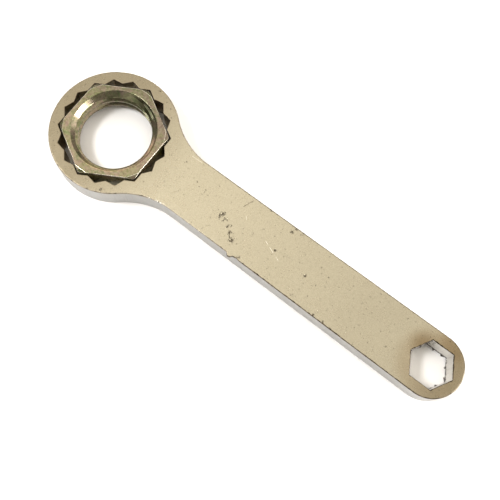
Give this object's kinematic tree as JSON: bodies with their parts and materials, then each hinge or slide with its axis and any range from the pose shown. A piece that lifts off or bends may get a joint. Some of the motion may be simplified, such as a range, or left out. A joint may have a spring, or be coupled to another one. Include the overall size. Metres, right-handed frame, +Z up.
{
  "type": "fire hydrant wrench",
  "caption": "Flat one-piece plate wrench with a multi-point ring and a hexagon hole, shown with a threaded hexagon nut seated loose in the ring.",
  "frame": {"origin": "on the underside of the plate, on the axis of the ring", "axes": "+X along the handle from the ring towards the hexagon hole, +Z up out of the plate's top face, along the ring's axis"},
  "size_m": [0.2733, 0.0746, 0.0175],
  "materials": {
    "plate_steel": "satin nickel-toned plating on steel",
    "nut_zinc": "yellow passivated zinc on steel"
  },
  "bodies": {
    "wrench": {"wrench_body": "plate_steel"},
    "nut": {"hex_nut": "nut_zinc"}
  },
  "joints": [
    {"name": "nut_lift", "type": "slide", "parent": "wrench", "child": "nut", "axis": [0, 0, 1], "range_m": [0, 0.03]}
  ]
}
